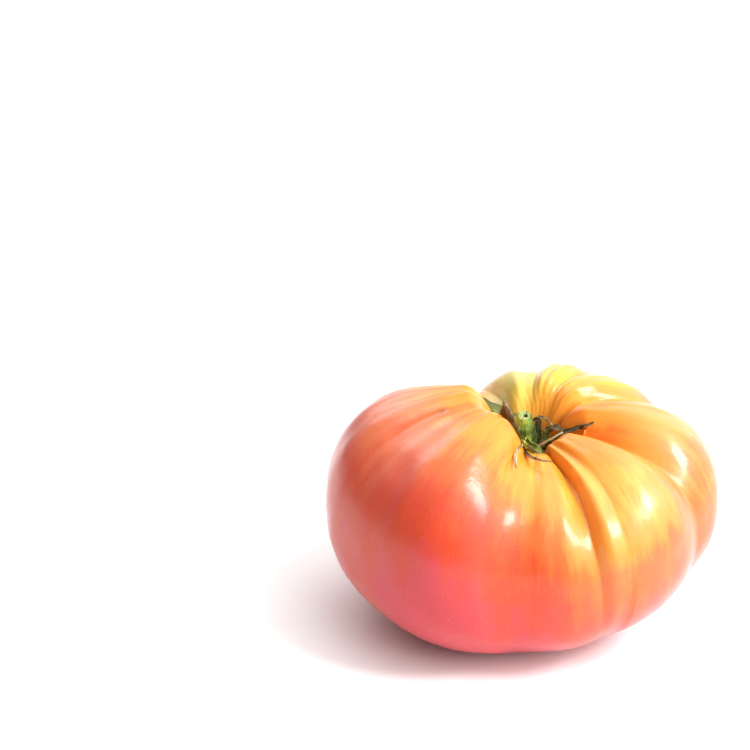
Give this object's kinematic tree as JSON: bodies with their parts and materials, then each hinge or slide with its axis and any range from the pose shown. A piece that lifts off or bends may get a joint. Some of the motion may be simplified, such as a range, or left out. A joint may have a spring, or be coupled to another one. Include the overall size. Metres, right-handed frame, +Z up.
{
  "type": "tomato",
  "caption": "Ribbed beefsteak tomato with uneven lobes, a deep stem cavity, a dried calyx and a cut green stalk stub; rests on a small flat spot.",
  "frame": {"origin": "middle of the small flat spot under the fruit that it rests on", "axes": "+Z up, away from the surface it rests on; -Y towards the low lobe at the front of the stem cavity; +X to the right seen from there"},
  "size_m": [0.1171, 0.0979, 0.0732],
  "materials": {
    "skin": "taut glossy skin, yellow at the stem cavity, orange on the shoulders, pink-red below",
    "dried_leaf": "matt, dried and curled, olive to brown",
    "green_stalk": "satin, fresh green with a pale cut end"
  },
  "bodies": {
    "root": {"fruit": "skin", "calyx": "dried_leaf", "pedicel": "green_stalk"}
  },
  "joints": []
}
